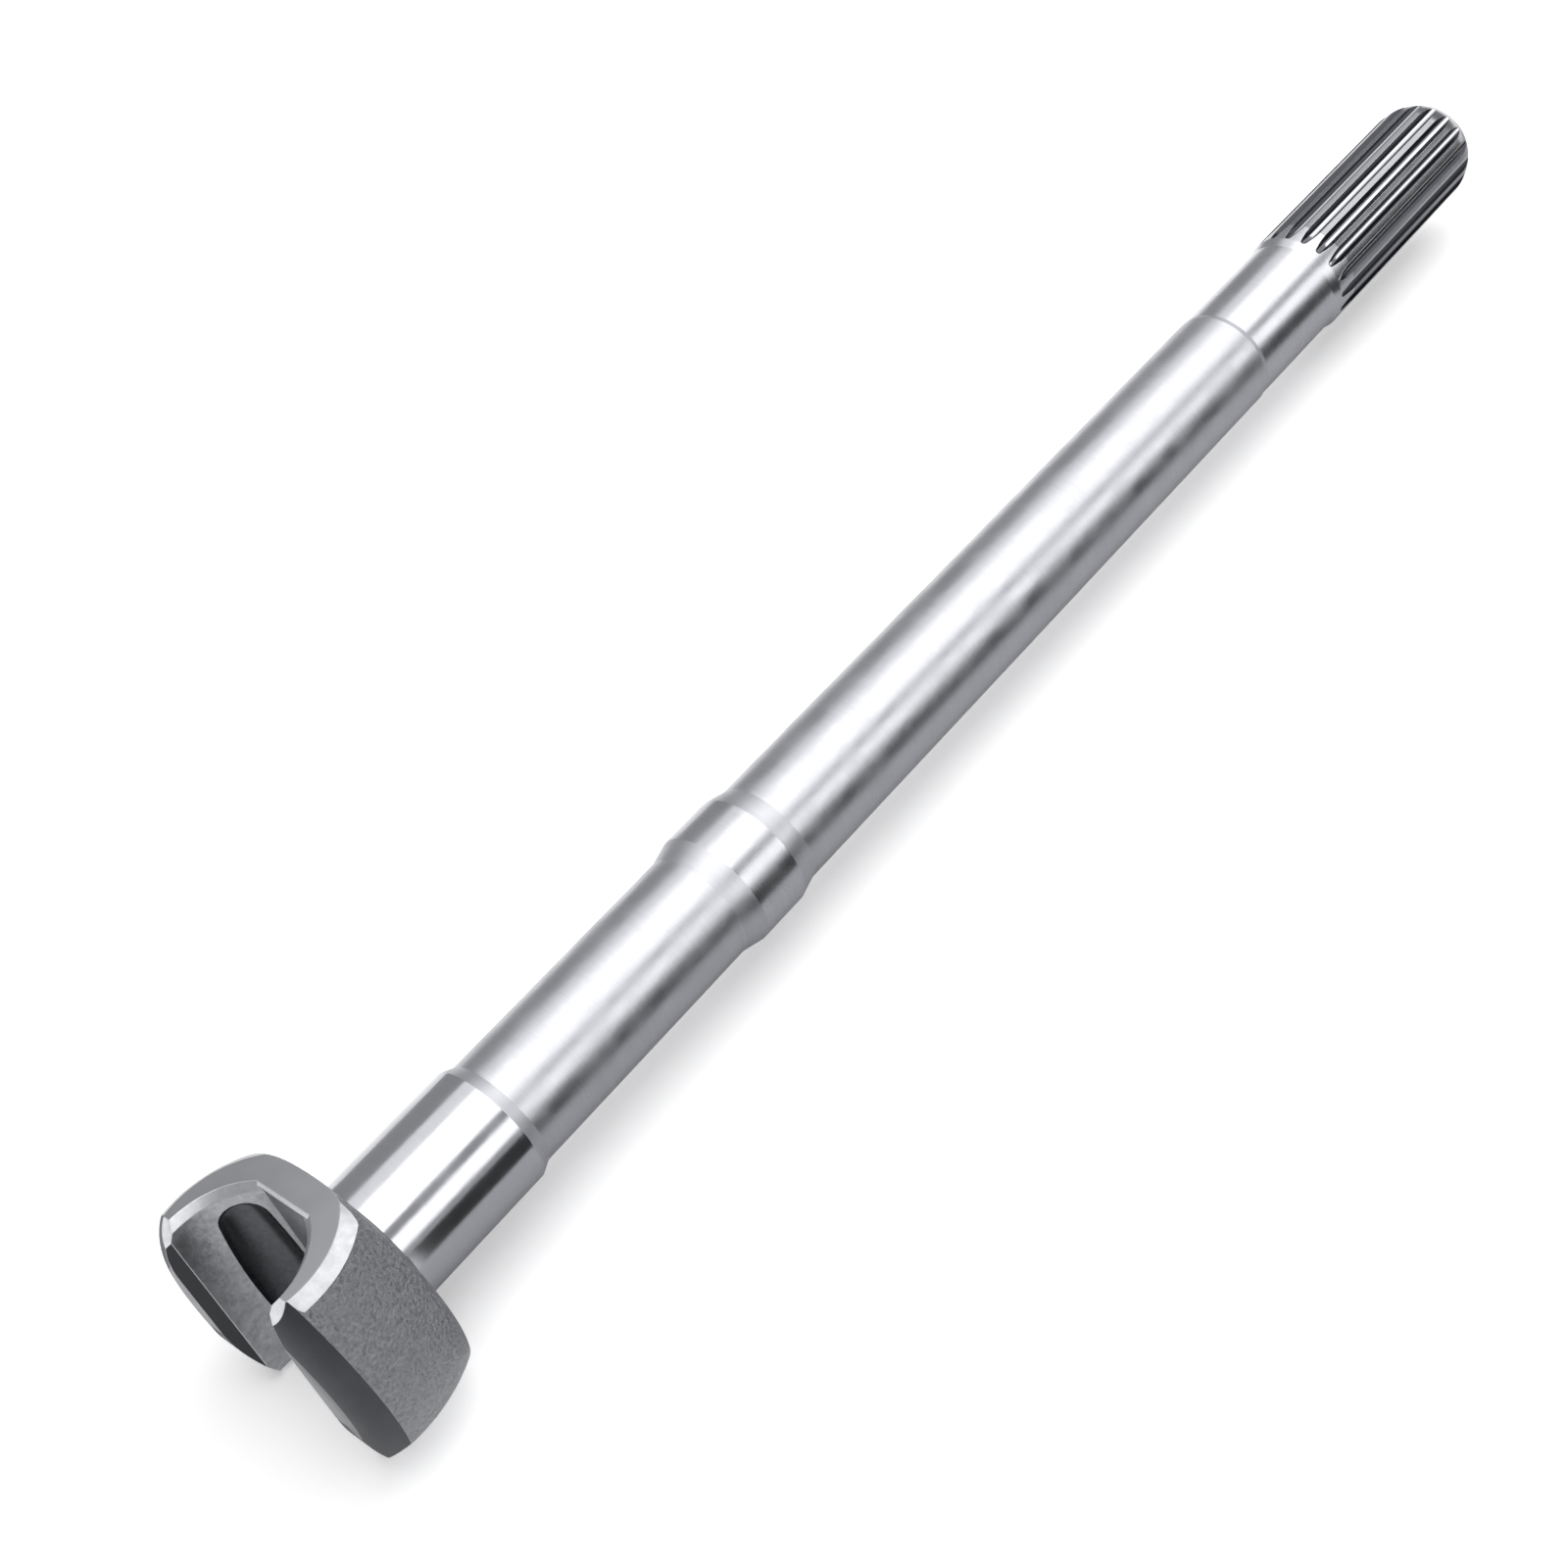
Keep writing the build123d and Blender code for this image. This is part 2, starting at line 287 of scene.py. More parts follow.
def steel(name, base, shade, rough, rough_spread, grain_mm, bump_mm, stretch=EVEN,
          edge_mm=0.4, lump_mm=6.0, lump_height_mm=0.0):
    """Bare steel: a grain of tool marks between two greys, gloss that wanders in patches,
    low lumps under the grain, and corners painted lighter and smoother: a painted edge
    highlight on every corner, hollow ones too, with rubbed wear on the outer ones."""
    finish, tree = empty_finish(name)
    place = add(tree, "ShaderNodeTexCoord").outputs["Object"]
    drawn = add(tree, "ShaderNodeMapping", None, {"Vector": place, "Scale": stretch})
    grain = add(tree, "ShaderNodeTexNoise", None, {
        "Vector": drawn.outputs[0], "Scale": 1000.0 / grain_mm, "Detail": 5.0, "Roughness": 0.6})
    patches = add(tree, "ShaderNodeTexNoise", None, {
        "Vector": place, "Scale": PATCHES_PER_METRE, "Detail": 3.0, "Roughness": 0.5})
    greys = add(tree, "ShaderNodeMix", {"data_type": "RGBA"}, {
        "Factor": grain.outputs[0], "A": colour(base), "B": colour(shade)})
    gloss = add(tree, "ShaderNodeMapRange", None, {
        "Value": patches.outputs[0], "From Min": 0.35, "From Max": 0.65,
        "To Min": rough - rough_spread, "To Max": rough + rough_spread})

    corner = add(tree, "ShaderNodeBevel", {"samples": 6}, {"Radius": edge_mm * MM})
    hills = add(tree, "ShaderNodeTexNoise", None, {
        "Vector": place, "Scale": 1000.0 / lump_mm, "Detail": 3.0, "Roughness": 0.5})
    lumps = add(tree, "ShaderNodeBump", None, {
        "Height": hills.outputs[0], "Distance": lump_height_mm * MM, "Strength": 1.0,
        "Normal": corner.outputs[0]})
    marks = add(tree, "ShaderNodeBump", None, {
        "Height": grain.outputs[0], "Distance": bump_mm * MM, "Strength": 1.0,
        "Normal": lumps.outputs[0]})

    # On a corner the rounded normal turns away from the surface's own, and there the steel is
    # painted lighter and smoother: a painted edge highlight on every corner, hollow ones too, with
    # rubbed wear on the outer ones
    surface = add(tree, "ShaderNodeNewGeometry").outputs["Normal"]
    agreement = add(tree, "ShaderNodeVectorMath", {"operation": "DOT_PRODUCT"}, {
        0: corner.outputs[0], 1: surface})
    highlight_and_wear = add(tree, "ShaderNodeMapRange", None, {
        "Value": agreement.outputs["Value"], "From Min": 0.997, "From Max": 0.965,
        "To Min": 0.0, "To Max": 0.85})
    shown = add(tree, "ShaderNodeMix", {"data_type": "RGBA"}, {
        "Factor": highlight_and_wear.outputs[0], "A": greys.outputs["Result"], "B": colour(EDGE_HIGHLIGHT_AND_WEAR)})
    smoothed = add(tree, "ShaderNodeMix", None, {
        "Factor": highlight_and_wear.outputs[0], "A": gloss.outputs[0], "B": EDGE_HIGHLIGHT_AND_WEAR_ROUGH})
    shader = add(tree, "ShaderNodeBsdfPrincipled", None, {
        "Base Color": shown.outputs["Result"], "Metallic": 1.0,
        "Roughness": smoothed.outputs["Result"], "Normal": marks.outputs[0]})
    add(tree, "ShaderNodeOutputMaterial", None, {"Surface": shader.outputs[0]})
    return finish


# Forging skin, shot blasted: a dull grey full of small pits over low lumps. Real pits are
# under 0.5 mm, and are drawn three times as coarse and deeper, so that they show.
forged_skin = steel("shot_blasted_forging", "A4A5A8", "505154", rough=0.40, rough_spread=0.04,
                    grain_mm=1.5, bump_mm=1.8, edge_mm=0.5, lump_height_mm=2.8)
# Steel ground between centres: satin, so that lamps show as soft bands along the shaft. Real
# grinding lines are about 0.05 mm apart, and are drawn at 0.9 mm, here and in the next three.
ground_steel = steel("ground_steel", "C2C3C7", "B2B3B7", rough=0.35, rough_spread=0.05,
                     grain_mm=0.9, bump_mm=0.004, stretch=RINGS, edge_mm=0.3,
                     lump_height_mm=0.08)
# The same, ground finer for the seal's lip and before the spline: clearer bands.
fine_ground_steel = steel("fine_ground_steel", "C2C3C7", "B4B5B9", rough=0.27,
                          rough_spread=0.03, grain_mm=0.9, bump_mm=0.003, stretch=RINGS,
                          edge_mm=0.3, lump_height_mm=0.02)
# Tooth crests, ground and then hardened: a darker grey under the same gloss.
crest_steel = steel("hardened_tooth_crest", "9C9DA0", "8C8D90", rough=0.24, rough_spread=0.03,
                    grain_mm=0.9, bump_mm=0.003, stretch=RINGS, edge_mm=0.2,
                    lump_height_mm=0.02)
# Journal polished for its bush: near a mirror, with black and white bands.
polished_steel = steel("polished_steel", "C3C4C8", "BABBBF", rough=0.17, rough_spread=0.03,
                       grain_mm=0.9, bump_mm=0.002, stretch=RINGS, edge_mm=0.3,
                       lump_height_mm=0.03)
# Cones left as turned: the tool's rings scatter light, so they look pale and even. Real
# rings are about 0.2 mm apart, and are drawn at 0.8 mm.
turned_cone = steel("turned_cone", "C0C1C5", "B0B1B5", rough=0.40, rough_spread=0.04,
                    grain_mm=0.8, bump_mm=0.004, stretch=RINGS, edge_mm=0.3)
# Front of the jaws, faced flat: a plain mid grey. Marks of 0.2 mm are drawn at 0.8 mm.
faced_end = steel("faced_jaw_end", "6E6F72", "626366", rough=0.38, rough_spread=0.03,
                  grain_mm=0.8, bump_mm=0.004)
# Crowned ends of the jaws, milled to shape with a coarse feed: dull, and painted dark as a painted
# reflection of the dark surroundings. Marks of 0.5 mm are drawn at 1.2 mm.
jaw_end_painted_dark = steel("milled_jaw_end", "4E4F52", "454649", rough=0.58, rough_spread=0.04,
                  grain_mm=1.2, bump_mm=0.02)
blank = spun("axle_shaft_steel", blank_outline(), "X", (0, 0, 0), TURNED_SIDES, forged_skin)

# Which finish each length of the shaft has, up to where it ends
JOURNAL_START_X = 46.0
BANDS = (
    (JOURNAL_END_X, polished_steel),
    (FIRST_START_X, turned_cone),
    (FIRST_END_X, ground_steel),
    (COLLAR_START_X, turned_cone),
    (COLLAR_END_X, fine_ground_steel),
    (SECOND_START_X, turned_cone),
    (SECOND_END_X, ground_steel),
    (RELIEF_START_X, turned_cone),
    (CREST_START_X, fine_ground_steel),
    (SHAFT_END_X + 1, crest_steel),
)
# How far a face of the head looks forward along the shaft before it counts as cut
FACED_LOOK = 0.985
CROWN_LOOK = 0.5
blank_finishes = [
    forged_skin, ground_steel, fine_ground_steel, polished_steel, turned_cone, crest_steel,
    jaw_end_painted_dark, faced_end,
]
for extra in blank_finishes[1:]:
    blank.data.materials.append(extra)
for face in blank.data.polygons:
    x = face.center.x / MM
    if x > JOURNAL_START_X:
        finish = next(finish for end, finish in BANDS if x < end)
    elif face.normal.x < -FACED_LOOK:
        finish = faced_end
    # The crowned jaw ends take a painted dark grey, a painted reflection
    elif face.normal.x < -CROWN_LOOK:
        finish = jaw_end_painted_dark
    else:
        finish = forged_skin
    face.material_index = blank_finishes.index(finish)

# Flats of the head
# Two parallel flats milled across the ball, with a bevel turned round the rim of each. The
# under flat's bevel is the wider one.
TOP_FLAT_Z = 50.0
TOP_RIM_RADIUS = 37.6
TOP_BEVEL_ANGLE = math.radians(37.0)
UNDER_FLAT_Z = 44.0
UNDER_RIM_RADIUS = 36.0
UNDER_BEVEL_ANGLE = math.radians(45.0)
# The round between a flat and its bevel, and how far inside the rim the round starts
RIM_ROUND = 1.0
RIM_ROUND_START = 0.4
BEVEL_END_X = 50.0
# How far a cutting solid runs past the steel that it cuts
PAST = 2.0
# Flat milled with a fine feed: an even satin grey. Marks of 0.2 mm are drawn at 0.5 mm.
milled_flat = steel("milled_flat", "B0B1B4", "A8A9AC", rough=0.34, rough_spread=0.03,
                    grain_mm=0.5, bump_mm=0.002)
# Bevel turned with a sharp tool: bright, with duller patches a few millimetres across.
bright_cut = steel("bright_turned_bevel", "C4C5C7", "8E8F92", rough=0.34, rough_spread=0.05,
                   grain_mm=3.5, bump_mm=0.04)


def prism(name, outline, plane, half, finish):
    """A closed solid: an outline in XY or XZ, pushed out to both sides."""
    bm = bmesh.new()
    verts = []
    for a, b in outline:
        place = (a, b, -half) if plane == "XY" else (a, -half, b)
        verts.append(bm.verts.new(Vector(place) * MM))
    face = bm.faces.new(verts)
    pushed = bmesh.ops.extrude_face_region(bm, geom=[face])["geom"]
    away = (0, 0, 2 * half) if plane == "XY" else (0, 2 * half, 0)
    moved = [v for v in pushed if isinstance(v, bmesh.types.BMVert)]
    bmesh.ops.translate(bm, verts=moved, vec=Vector(away) * MM)
    return solid(name, bm, finish)


def combined(target, tool, operation):
    """The target after one exact boolean with the tool, which keeps each side's finish."""
    change = target.modifiers.new("cut", "BOOLEAN")
    change.operation = operation
    change.solver = "EXACT"
    change.material_mode = "TRANSFER"
    change.object = tool
    evaluated = target.evaluated_get(bpy.context.evaluated_depsgraph_get())
    mesh = bpy.data.meshes.new_from_object(evaluated)
    target.modifiers.clear()
    old = target.data
    target.data = mesh
    bpy.data.meshes.remove(old)
    bpy.data.objects.remove(tool)


def flat_cutter(side, flat_z, rim_radius, bevel_angle):
    """What is milled off above one flat, with the bevel round its rim."""
    reach = BALL_RADIUS + PAST
    drop = (reach - rim_radius) * math.tan(bevel_angle)
    outline = rounded([
        (side * flat_z, 0, 0),
        (side * flat_z, rim_radius, RIM_ROUND),
        (side * (flat_z - drop), reach, 0),
        (side * reach, reach, 0),
        (side * reach, 0, 0),
    ])
    cutter = spun("flat_cutter", outline, "Z", (BALL_X, 0, 0), TURNED_SIDES, milled_flat)
    cutter.data.materials.append(bright_cut)
    flat_radius = rim_radius - RIM_ROUND_START
    for face in cutter.data.polygons:
        if math.hypot(face.center.x / MM - BALL_X, face.center.y / MM) > flat_radius:
            face.material_index = 1
    head_space = [
        (-2 * reach, -reach), (BEVEL_END_X, -reach), (BEVEL_END_X, reach), (-2 * reach, reach),
    ]
    combined(cutter, prism("head_space", head_space, "XY", 2 * reach, bright_cut), "INTERSECT")
    return cutter


cutters = [
    flat_cutter(1, TOP_FLAT_Z, TOP_RIM_RADIUS, TOP_BEVEL_ANGLE),
    flat_cutter(-1, UNDER_FLAT_Z, UNDER_RIM_RADIUS, UNDER_BEVEL_ANGLE),
]

# Cross bore
# The round bore that the joint's bearing piece sits in, with a chamfer at each flat, and a
# flat land left standing at its bottom.
BORE_RADIUS = 30.0
BORE_CHAMFER = 3.0
CHAMFER_ROUND = 1.0
LAND_X = 27.9
LAND_BEVEL = 1.3
LAND_ROUND = 0.8
# Wall bored and then heat treated: patches of light and dark grey a few millimetres across.
bored_wall = steel("bored_wall", "B8B9BC", "6C6D70", rough=0.38, rough_spread=0.08,
                   grain_mm=2.6, bump_mm=0.2)
# Land milled after boring: the same steel, cleaner and more even. Its marks of 0.5 mm are
# drawn at 1.5 mm.
land_steel = steel("milled_land", "B0B1B4", "96979A", rough=0.36, rough_spread=0.04,
                   grain_mm=1.5, bump_mm=0.02)
# Chamfer cut last: fresh bright steel with a soft gloss, in faint patches.
bore_chamfer = steel("bored_chamfer", "DCDDDF", "B8B9BC", rough=0.42, rough_spread=0.05,
                     grain_mm=2.5, bump_mm=0.02)
top = TOP_FLAT_Z + PAST
under = -UNDER_FLAT_Z - PAST
flare_radius = BORE_RADIUS + BORE_CHAMFER + PAST
bore_outline = rounded([
    (under, 0, 0),
    (under, flare_radius, 0),
    (-UNDER_FLAT_Z + BORE_CHAMFER, BORE_RADIUS, CHAMFER_ROUND),
    (TOP_FLAT_Z - BORE_CHAMFER, BORE_RADIUS, CHAMFER_ROUND),
    (top, flare_radius, 0),
    (top, 0, 0),
])
bore = spun("bore_cutter", bore_outline, "Z", (0, 0, 0), TURNED_SIDES, bored_wall)
bore.data.materials.append(bore_chamfer)
for face in bore.data.polygons:
    z = face.center.z / MM
    if z > TOP_FLAT_Z - BORE_CHAMFER or z < -UNDER_FLAT_Z + BORE_CHAMFER:
        face.material_index = 1

far = 2 * BORE_RADIUS
land_outline = rounded([
    (-far, under, 0),
    (LAND_X + LAND_BEVEL + PAST, under, 0),
    (LAND_X, -UNDER_FLAT_Z + LAND_BEVEL, LAND_ROUND),
    (LAND_X, TOP_FLAT_Z - LAND_BEVEL, LAND_ROUND),
    (LAND_X + LAND_BEVEL + PAST, top, 0),
    (-far, top, 0),
])
combined(bore, prism("land_cutter", land_outline, "XZ", far, land_steel), "INTERSECT")
cutters.append(bore)

# Jaw ends
# Where the bore comes out at the jaw ends, a bevel takes off the sharp corner. Above, the tips
# are bevelled too, and below, the ends curve away under the head.
MOUTH_BEVEL_LENGTH = 4.5
MOUTH_BEVEL_ANGLE = math.radians(50.0)
TIP_BEVEL_X = 0.5
TIP_BEVEL_SLOPE = math.tan(math.radians(47.0))
UNDERCUT_START_Z = -10.0
UNDERCUT_END_X = 1.0
UNDERCUT_RADIUS = 70.0
UNDERCUT_STEPS = 16
# Mouth bevel: painted almost black, the darkest surface of the head, as a painted
# reflection of the dark surroundings.
mouth_bevel_painted_dark = steel("bored_mouth_bevel", "2C2D30", "242528", rough=0.32, rough_spread=0.04,
                    grain_mm=1.2, bump_mm=0.01)
inner_x = JAW_FRONT_X + MOUTH_BEVEL_LENGTH
inner_y = math.sqrt(BORE_RADIUS**2 - inner_x**2)
clear_x = JAW_FRONT_X - PAST
outer_y = inner_y + (inner_x - clear_x) * math.tan(MOUTH_BEVEL_ANGLE)
mouth_outline = [
    (clear_x, -outer_y), (inner_x, -inner_y), (inner_x, inner_y), (clear_x, outer_y),
]
cutters.append(prism("mouth_cutter", mouth_outline, "XY", top, mouth_bevel_painted_dark))

tip_outline = [
    (clear_x, TOP_FLAT_Z - (TIP_BEVEL_X - clear_x) * TIP_BEVEL_SLOPE),
    (TIP_BEVEL_X + PAST, TOP_FLAT_Z + PAST * TIP_BEVEL_SLOPE),
    (clear_x, TOP_FLAT_Z + PAST * TIP_BEVEL_SLOPE),
]
cutters.append(prism("tip_cutter", tip_outline, "XZ", BALL_RADIUS + PAST, bright_cut))

start = Vector((JAW_FRONT_X, UNDERCUT_START_Z))
end = Vector((UNDERCUT_END_X, under))
chord = end - start
to_middle = math.sqrt(UNDERCUT_RADIUS**2 - chord.length_squared / 4)
middle = (start + end) / 2 + Vector((-chord.y, chord.x)).normalized() * to_middle
curve_end = math.tau + heading(end - middle)
curve = arc(middle, UNDERCUT_RADIUS, math.pi, curve_end, UNDERCUT_STEPS)
under_outline = [tuple(start)] + curve[1:] + [(clear_x, under), (clear_x, UNDERCUT_START_Z)]
# The undercut ends take the same painted dark grey, a painted reflection
cutters.append(prism("undercut_cutter", under_outline, "XZ", BALL_RADIUS + PAST, jaw_end_painted_dark))

# Relief pockets
# Two spindle-shaped pockets with round ends, milled into the wall of the bore, one to each
# side of the land. Only one shows in the photograph, and the other is its mirror image.
POCKET_ANGLE = math.radians(48.5)
POCKET_DEPTH = 6.0
POCKET_RADIUS = 12.5
POCKET_END_RADIUS = 10.0
POCKET_END_ROUND = 8.5
POCKET_TOP_Z = 43.5
POCKET_UNDER_Z = -38.5
POCKET_SIDES = 120
POCKET_END_STEPS = 8
POCKET_SIDE_STEPS = 24
# Pocket milled: dark grey in faint patches, with a sheen. The dark grey is painted shade, as falls
# in the pocket's hollow.
pocket_wall_painted_shade = steel("pocket_wall_painted_shade", "5E5F62", "3C3D40", rough=0.28, rough_spread=0.05,
                    grain_mm=2.0, bump_mm=0.01)
half = (POCKET_TOP_Z - POCKET_UNDER_Z) / 2
swell = POCKET_RADIUS - POCKET_END_RADIUS
side_radius = (half**2 + swell**2) / (2 * swell)
side_middle = (POCKET_RADIUS - side_radius, 0)
to_end_middle = side_radius - POCKET_END_ROUND
end_middle = Vector((0, half - POCKET_END_ROUND))
end_middle.x = math.sqrt(to_end_middle**2 - end_middle.y**2) + POCKET_RADIUS - side_radius
side_turn = math.asin(end_middle.y / to_end_middle)
upper_end = arc(end_middle, POCKET_END_ROUND, side_turn, math.pi / 2, POCKET_END_STEPS)
lower_end = [(away, -along) for away, along in reversed(upper_end)]
side_line = arc(side_middle, side_radius, -side_turn, side_turn, POCKET_SIDE_STEPS)
whole = [(0, -half)] + lower_end + side_line[1:-1] + upper_end + [(0, half)]
middle_z = (POCKET_TOP_Z + POCKET_UNDER_Z) / 2
pocket_outline = [(along + middle_z, away) for away, along in whole]
pocket_away = BORE_RADIUS + POCKET_DEPTH - POCKET_RADIUS
for side in (1, -1):
    centre = (pocket_away * math.cos(POCKET_ANGLE), side * pocket_away * math.sin(POCKET_ANGLE), 0)
    cutters.append(spun("pocket_cutter", pocket_outline, "Z", centre, POCKET_SIDES, pocket_wall_painted_shade))

# Spline
# Nineteen spaces hobbed with 30 degree involute flanks. Each rises out of the shaft on the
# radius of the hob, and runs out through the rounded nose at the other end.
SPLINE_TEETH = 19
SPLINE_MODULE = 2.5
SPLINE_PRESSURE = math.radians(30.0)
TOOTH_WIDTH = 4.94
SPLINE_ROOT_RADIUS = 23.25
ROOT_ROUND = 1.0
CREST_ROUND = 0.3
HOB_RADIUS = 35.0
RUN_OUT_TURN = math.radians(36)
RUN_OUT_STEPS = 20
# Where the outline of a space has its points, above the root and below the tip
ROOT_CORNER_RISE = 0.2
FLANK_START_RISE = 0.9
FLANK_END_DROP = 0.5
FLANK_STEPS = 6
LIP_SLOPE = math.radians(10)
# How near in mm a point has to be to the place where a space is full to count as there
SAME_X = 1e-3
# How squarely a face of a space looks outwards before it counts as its root
ROOT_LOOK = 0.93
# A grain stretched in lines along the teeth
LENGTHWAYS = (0.05, 1.0, 1.0)
# Flanks hobbed and hardened: glossy, and painted dark as the shade deep between the
# teeth, so that the spaces look black. The lines along the teeth, here and on the roots,
# are drawn at 0.5 mm, and are finer on real steel.
flank_painted_shade = steel("hobbed_flank", "404145", "343539", rough=0.15, rough_spread=0.02,
                     grain_mm=0.5, bump_mm=0.001, stretch=LENGTHWAYS, edge_mm=0.1)
# Roots burnished by the tip of the hob: thin bright lines.
root_steel = steel("hobbed_root", "C2C3C6", "B6B7BB", rough=0.12, rough_spread=0.02,
                   grain_mm=0.5, bump_mm=0.001, stretch=LENGTHWAYS, edge_mm=0.1)
pitch_radius = SPLINE_MODULE * SPLINE_TEETH / 2
base_radius = pitch_radius * math.cos(SPLINE_PRESSURE)
half_space = math.pi / SPLINE_TEETH - TOOTH_WIDTH / (2 * pitch_radius)


def flank(radius):
    """Point (across, up) on the flank of a space at a radius, by the involute."""
    pressure = math.acos(base_radius / radius)
    angle = half_space + math.tan(pressure) - pressure
    angle -= math.tan(SPLINE_PRESSURE) - SPLINE_PRESSURE
    return (radius * math.sin(angle), radius * math.cos(angle))


def space_outline():
    """Cross-section of one space, from one lip over the root to the other lip."""
    low = SPLINE_ROOT_RADIUS + FLANK_START_RISE
    high = SPLINE_TIP_RADIUS - FLANK_END_DROP
    radii = [low + (high - low) * i / FLANK_STEPS for i in range(FLANK_STEPS + 1)]
    side = [(*flank(radius), 0) for radius in radii]
    lip = flank(SPLINE_TIP_RADIUS)
    clear = (lip[0] + math.cos(LIP_SLOPE), lip[1] + math.sin(LIP_SLOPE), 0)
    corner = (*flank(SPLINE_ROOT_RADIUS + ROOT_CORNER_RISE), ROOT_ROUND)
    right = rounded([(0.0, SPLINE_ROOT_RADIUS, 0), corner] + side + [(*lip, CREST_ROUND), clear])
    left = [(-x, y) for x, y in reversed(right[1:])]
    return left + right


def space_cutter():
    """One space as a bmesh: straight to the nose, and a run-out on the hob's radius."""
    depth = SPLINE_TIP_RADIUS - SPLINE_ROOT_RADIUS
    full_x = SPLINE_START_X + math.sqrt(2 * HOB_RADIUS * depth - depth**2)

    def at_full(item):
        """Whether all of a face or an edge lies where the space reaches its full depth."""
        return all(abs(v.co.x / MM - full_x) < SAME_X for v in item.verts)

    bm = bmesh.new()
    verts = [bm.verts.new(Vector((full_x, x, y)) * MM) for x, y in space_outline()]
    face = bm.faces.new(verts)
    pushed = bmesh.ops.extrude_face_region(bm, geom=[face])["geom"]
    moved = [v for v in pushed if isinstance(v, bmesh.types.BMVert)]
    bmesh.ops.translate(bm, verts=moved, vec=Vector((SHAFT_END_X + PAST - full_x, 0, 0)) * MM)
    hub = Vector((full_x, 0, SPLINE_ROOT_RADIUS + HOB_RADIUS)) * MM
    rim = [e for e in bm.edges if at_full(e)]
    cap = [f for f in bm.faces if at_full(f)]
    bmesh.ops.spin(bm, geom=cap + rim + verts, axis=(0, 1, 0), cent=hub,
                   angle=RUN_OUT_TURN, steps=RUN_OUT_STEPS)
    inner = [f for f in bm.faces if at_full(f)]
    bmesh.ops.delete(bm, geom=inner, context="FACES_ONLY")
    return bm


one_space = bpy.data.meshes.new("space")
space_bm = space_cutter()
space_bm.to_mesh(one_space)
space_bm.free()
all_spaces = bmesh.new()
for i in range(SPLINE_TEETH):
    already = len(all_spaces.verts)
    all_spaces.from_mesh(one_space)
    all_spaces.verts.ensure_lookup_table()
    bmesh.ops.rotate(all_spaces, verts=all_spaces.verts[already:], cent=(0, 0, 0),
                     matrix=Matrix.Rotation(math.tau * i / SPLINE_TEETH, 3, "X"))
spaces = solid("space_cutters", all_spaces, flank_painted_shade)
spaces.data.materials.append(root_steel)
# All faces but the roots keep the flanks' painted shade
for face in spaces.data.polygons:
    outwards = Vector((0, face.center.y, face.center.z)).normalized()
    if face.normal.dot(outwards) < -ROOT_LOOK:
        face.material_index = 1
cutters.append(spaces)

# Centre hole
# The coned hole that the shaft was turned and ground on, drilled in the end of the spline.
# Its cone is bright where the machine's centre ran in it.
CENTRE_MOUTH_RADIUS = 4.25
CENTRE_DRILL_RADIUS = 2.0
CENTRE_DEPTH = 12.0
CENTRE_POINT = 1.0
CENTRE_SLOPE = math.tan(math.radians(30))
CENTRE_SIDES = 48
cone_depth = (CENTRE_MOUTH_RADIUS - CENTRE_DRILL_RADIUS) / CENTRE_SLOPE
centre_outline = [
    (SHAFT_END_X + PAST, 0),
    (SHAFT_END_X + PAST, CENTRE_MOUTH_RADIUS + PAST * CENTRE_SLOPE),
    (SHAFT_END_X - cone_depth, CENTRE_DRILL_RADIUS),
    (SHAFT_END_X - CENTRE_DEPTH, CENTRE_DRILL_RADIUS),
    (SHAFT_END_X - CENTRE_DEPTH - CENTRE_POINT, 0),
]
cutters.append(spun("centre_cutter", centre_outline, "X", (0, 0, 0), CENTRE_SIDES, bright_cut))

# Finished shaft
# The forging after every cut. Corners sharper than a small angle, and lines where one finish
# ends, stay crisp, and all the rest is smooth.
CRISP_ANGLE = math.radians(24)
# What the cuts leave closer than this is joined, and shorter than this taken out, in metres
WELD = 2e-6
SLIVER = 1e-6
for cutter in cutters:
    combined(blank, cutter, "DIFFERENCE")
bm = bmesh.new()
bm.from_mesh(blank.data)
bmesh.ops.remove_doubles(bm, verts=bm.verts, dist=WELD)
bmesh.ops.dissolve_degenerate(bm, edges=bm.edges, dist=SLIVER)
for face in bm.faces:
    face.smooth = True
for edge in bm.edges:
    sides = edge.link_faces
    finish_ends = len(sides) == 2 and sides[0].material_index != sides[1].material_index
    edge.smooth = not finish_ends and edge.calc_face_angle(0) < CRISP_ANGLE
bm.to_mesh(blank.data)
bm.free()

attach(blank, "root")
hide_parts("axle_shaft")

# Floor
# A plain white table top that the head lies on. It keeps the shaft's soft shadow, and further
# out it glows for the camera and in reflections, so that the background is white.
FLOOR_GAP = 0.0002
FLOOR_HALF = 40.0
FLOOR_MIDDLE_X = 0.3
# The glow rises from near to far between two distances, in metres, from the shadow's middle
SHADOW_MIDDLE = (0.4, 0.0, 0.0)
GLOW_START = 0.3
GLOW_END = 1.3
GLOW_NEAR = 0.25
GLOW_FAR = 0.85
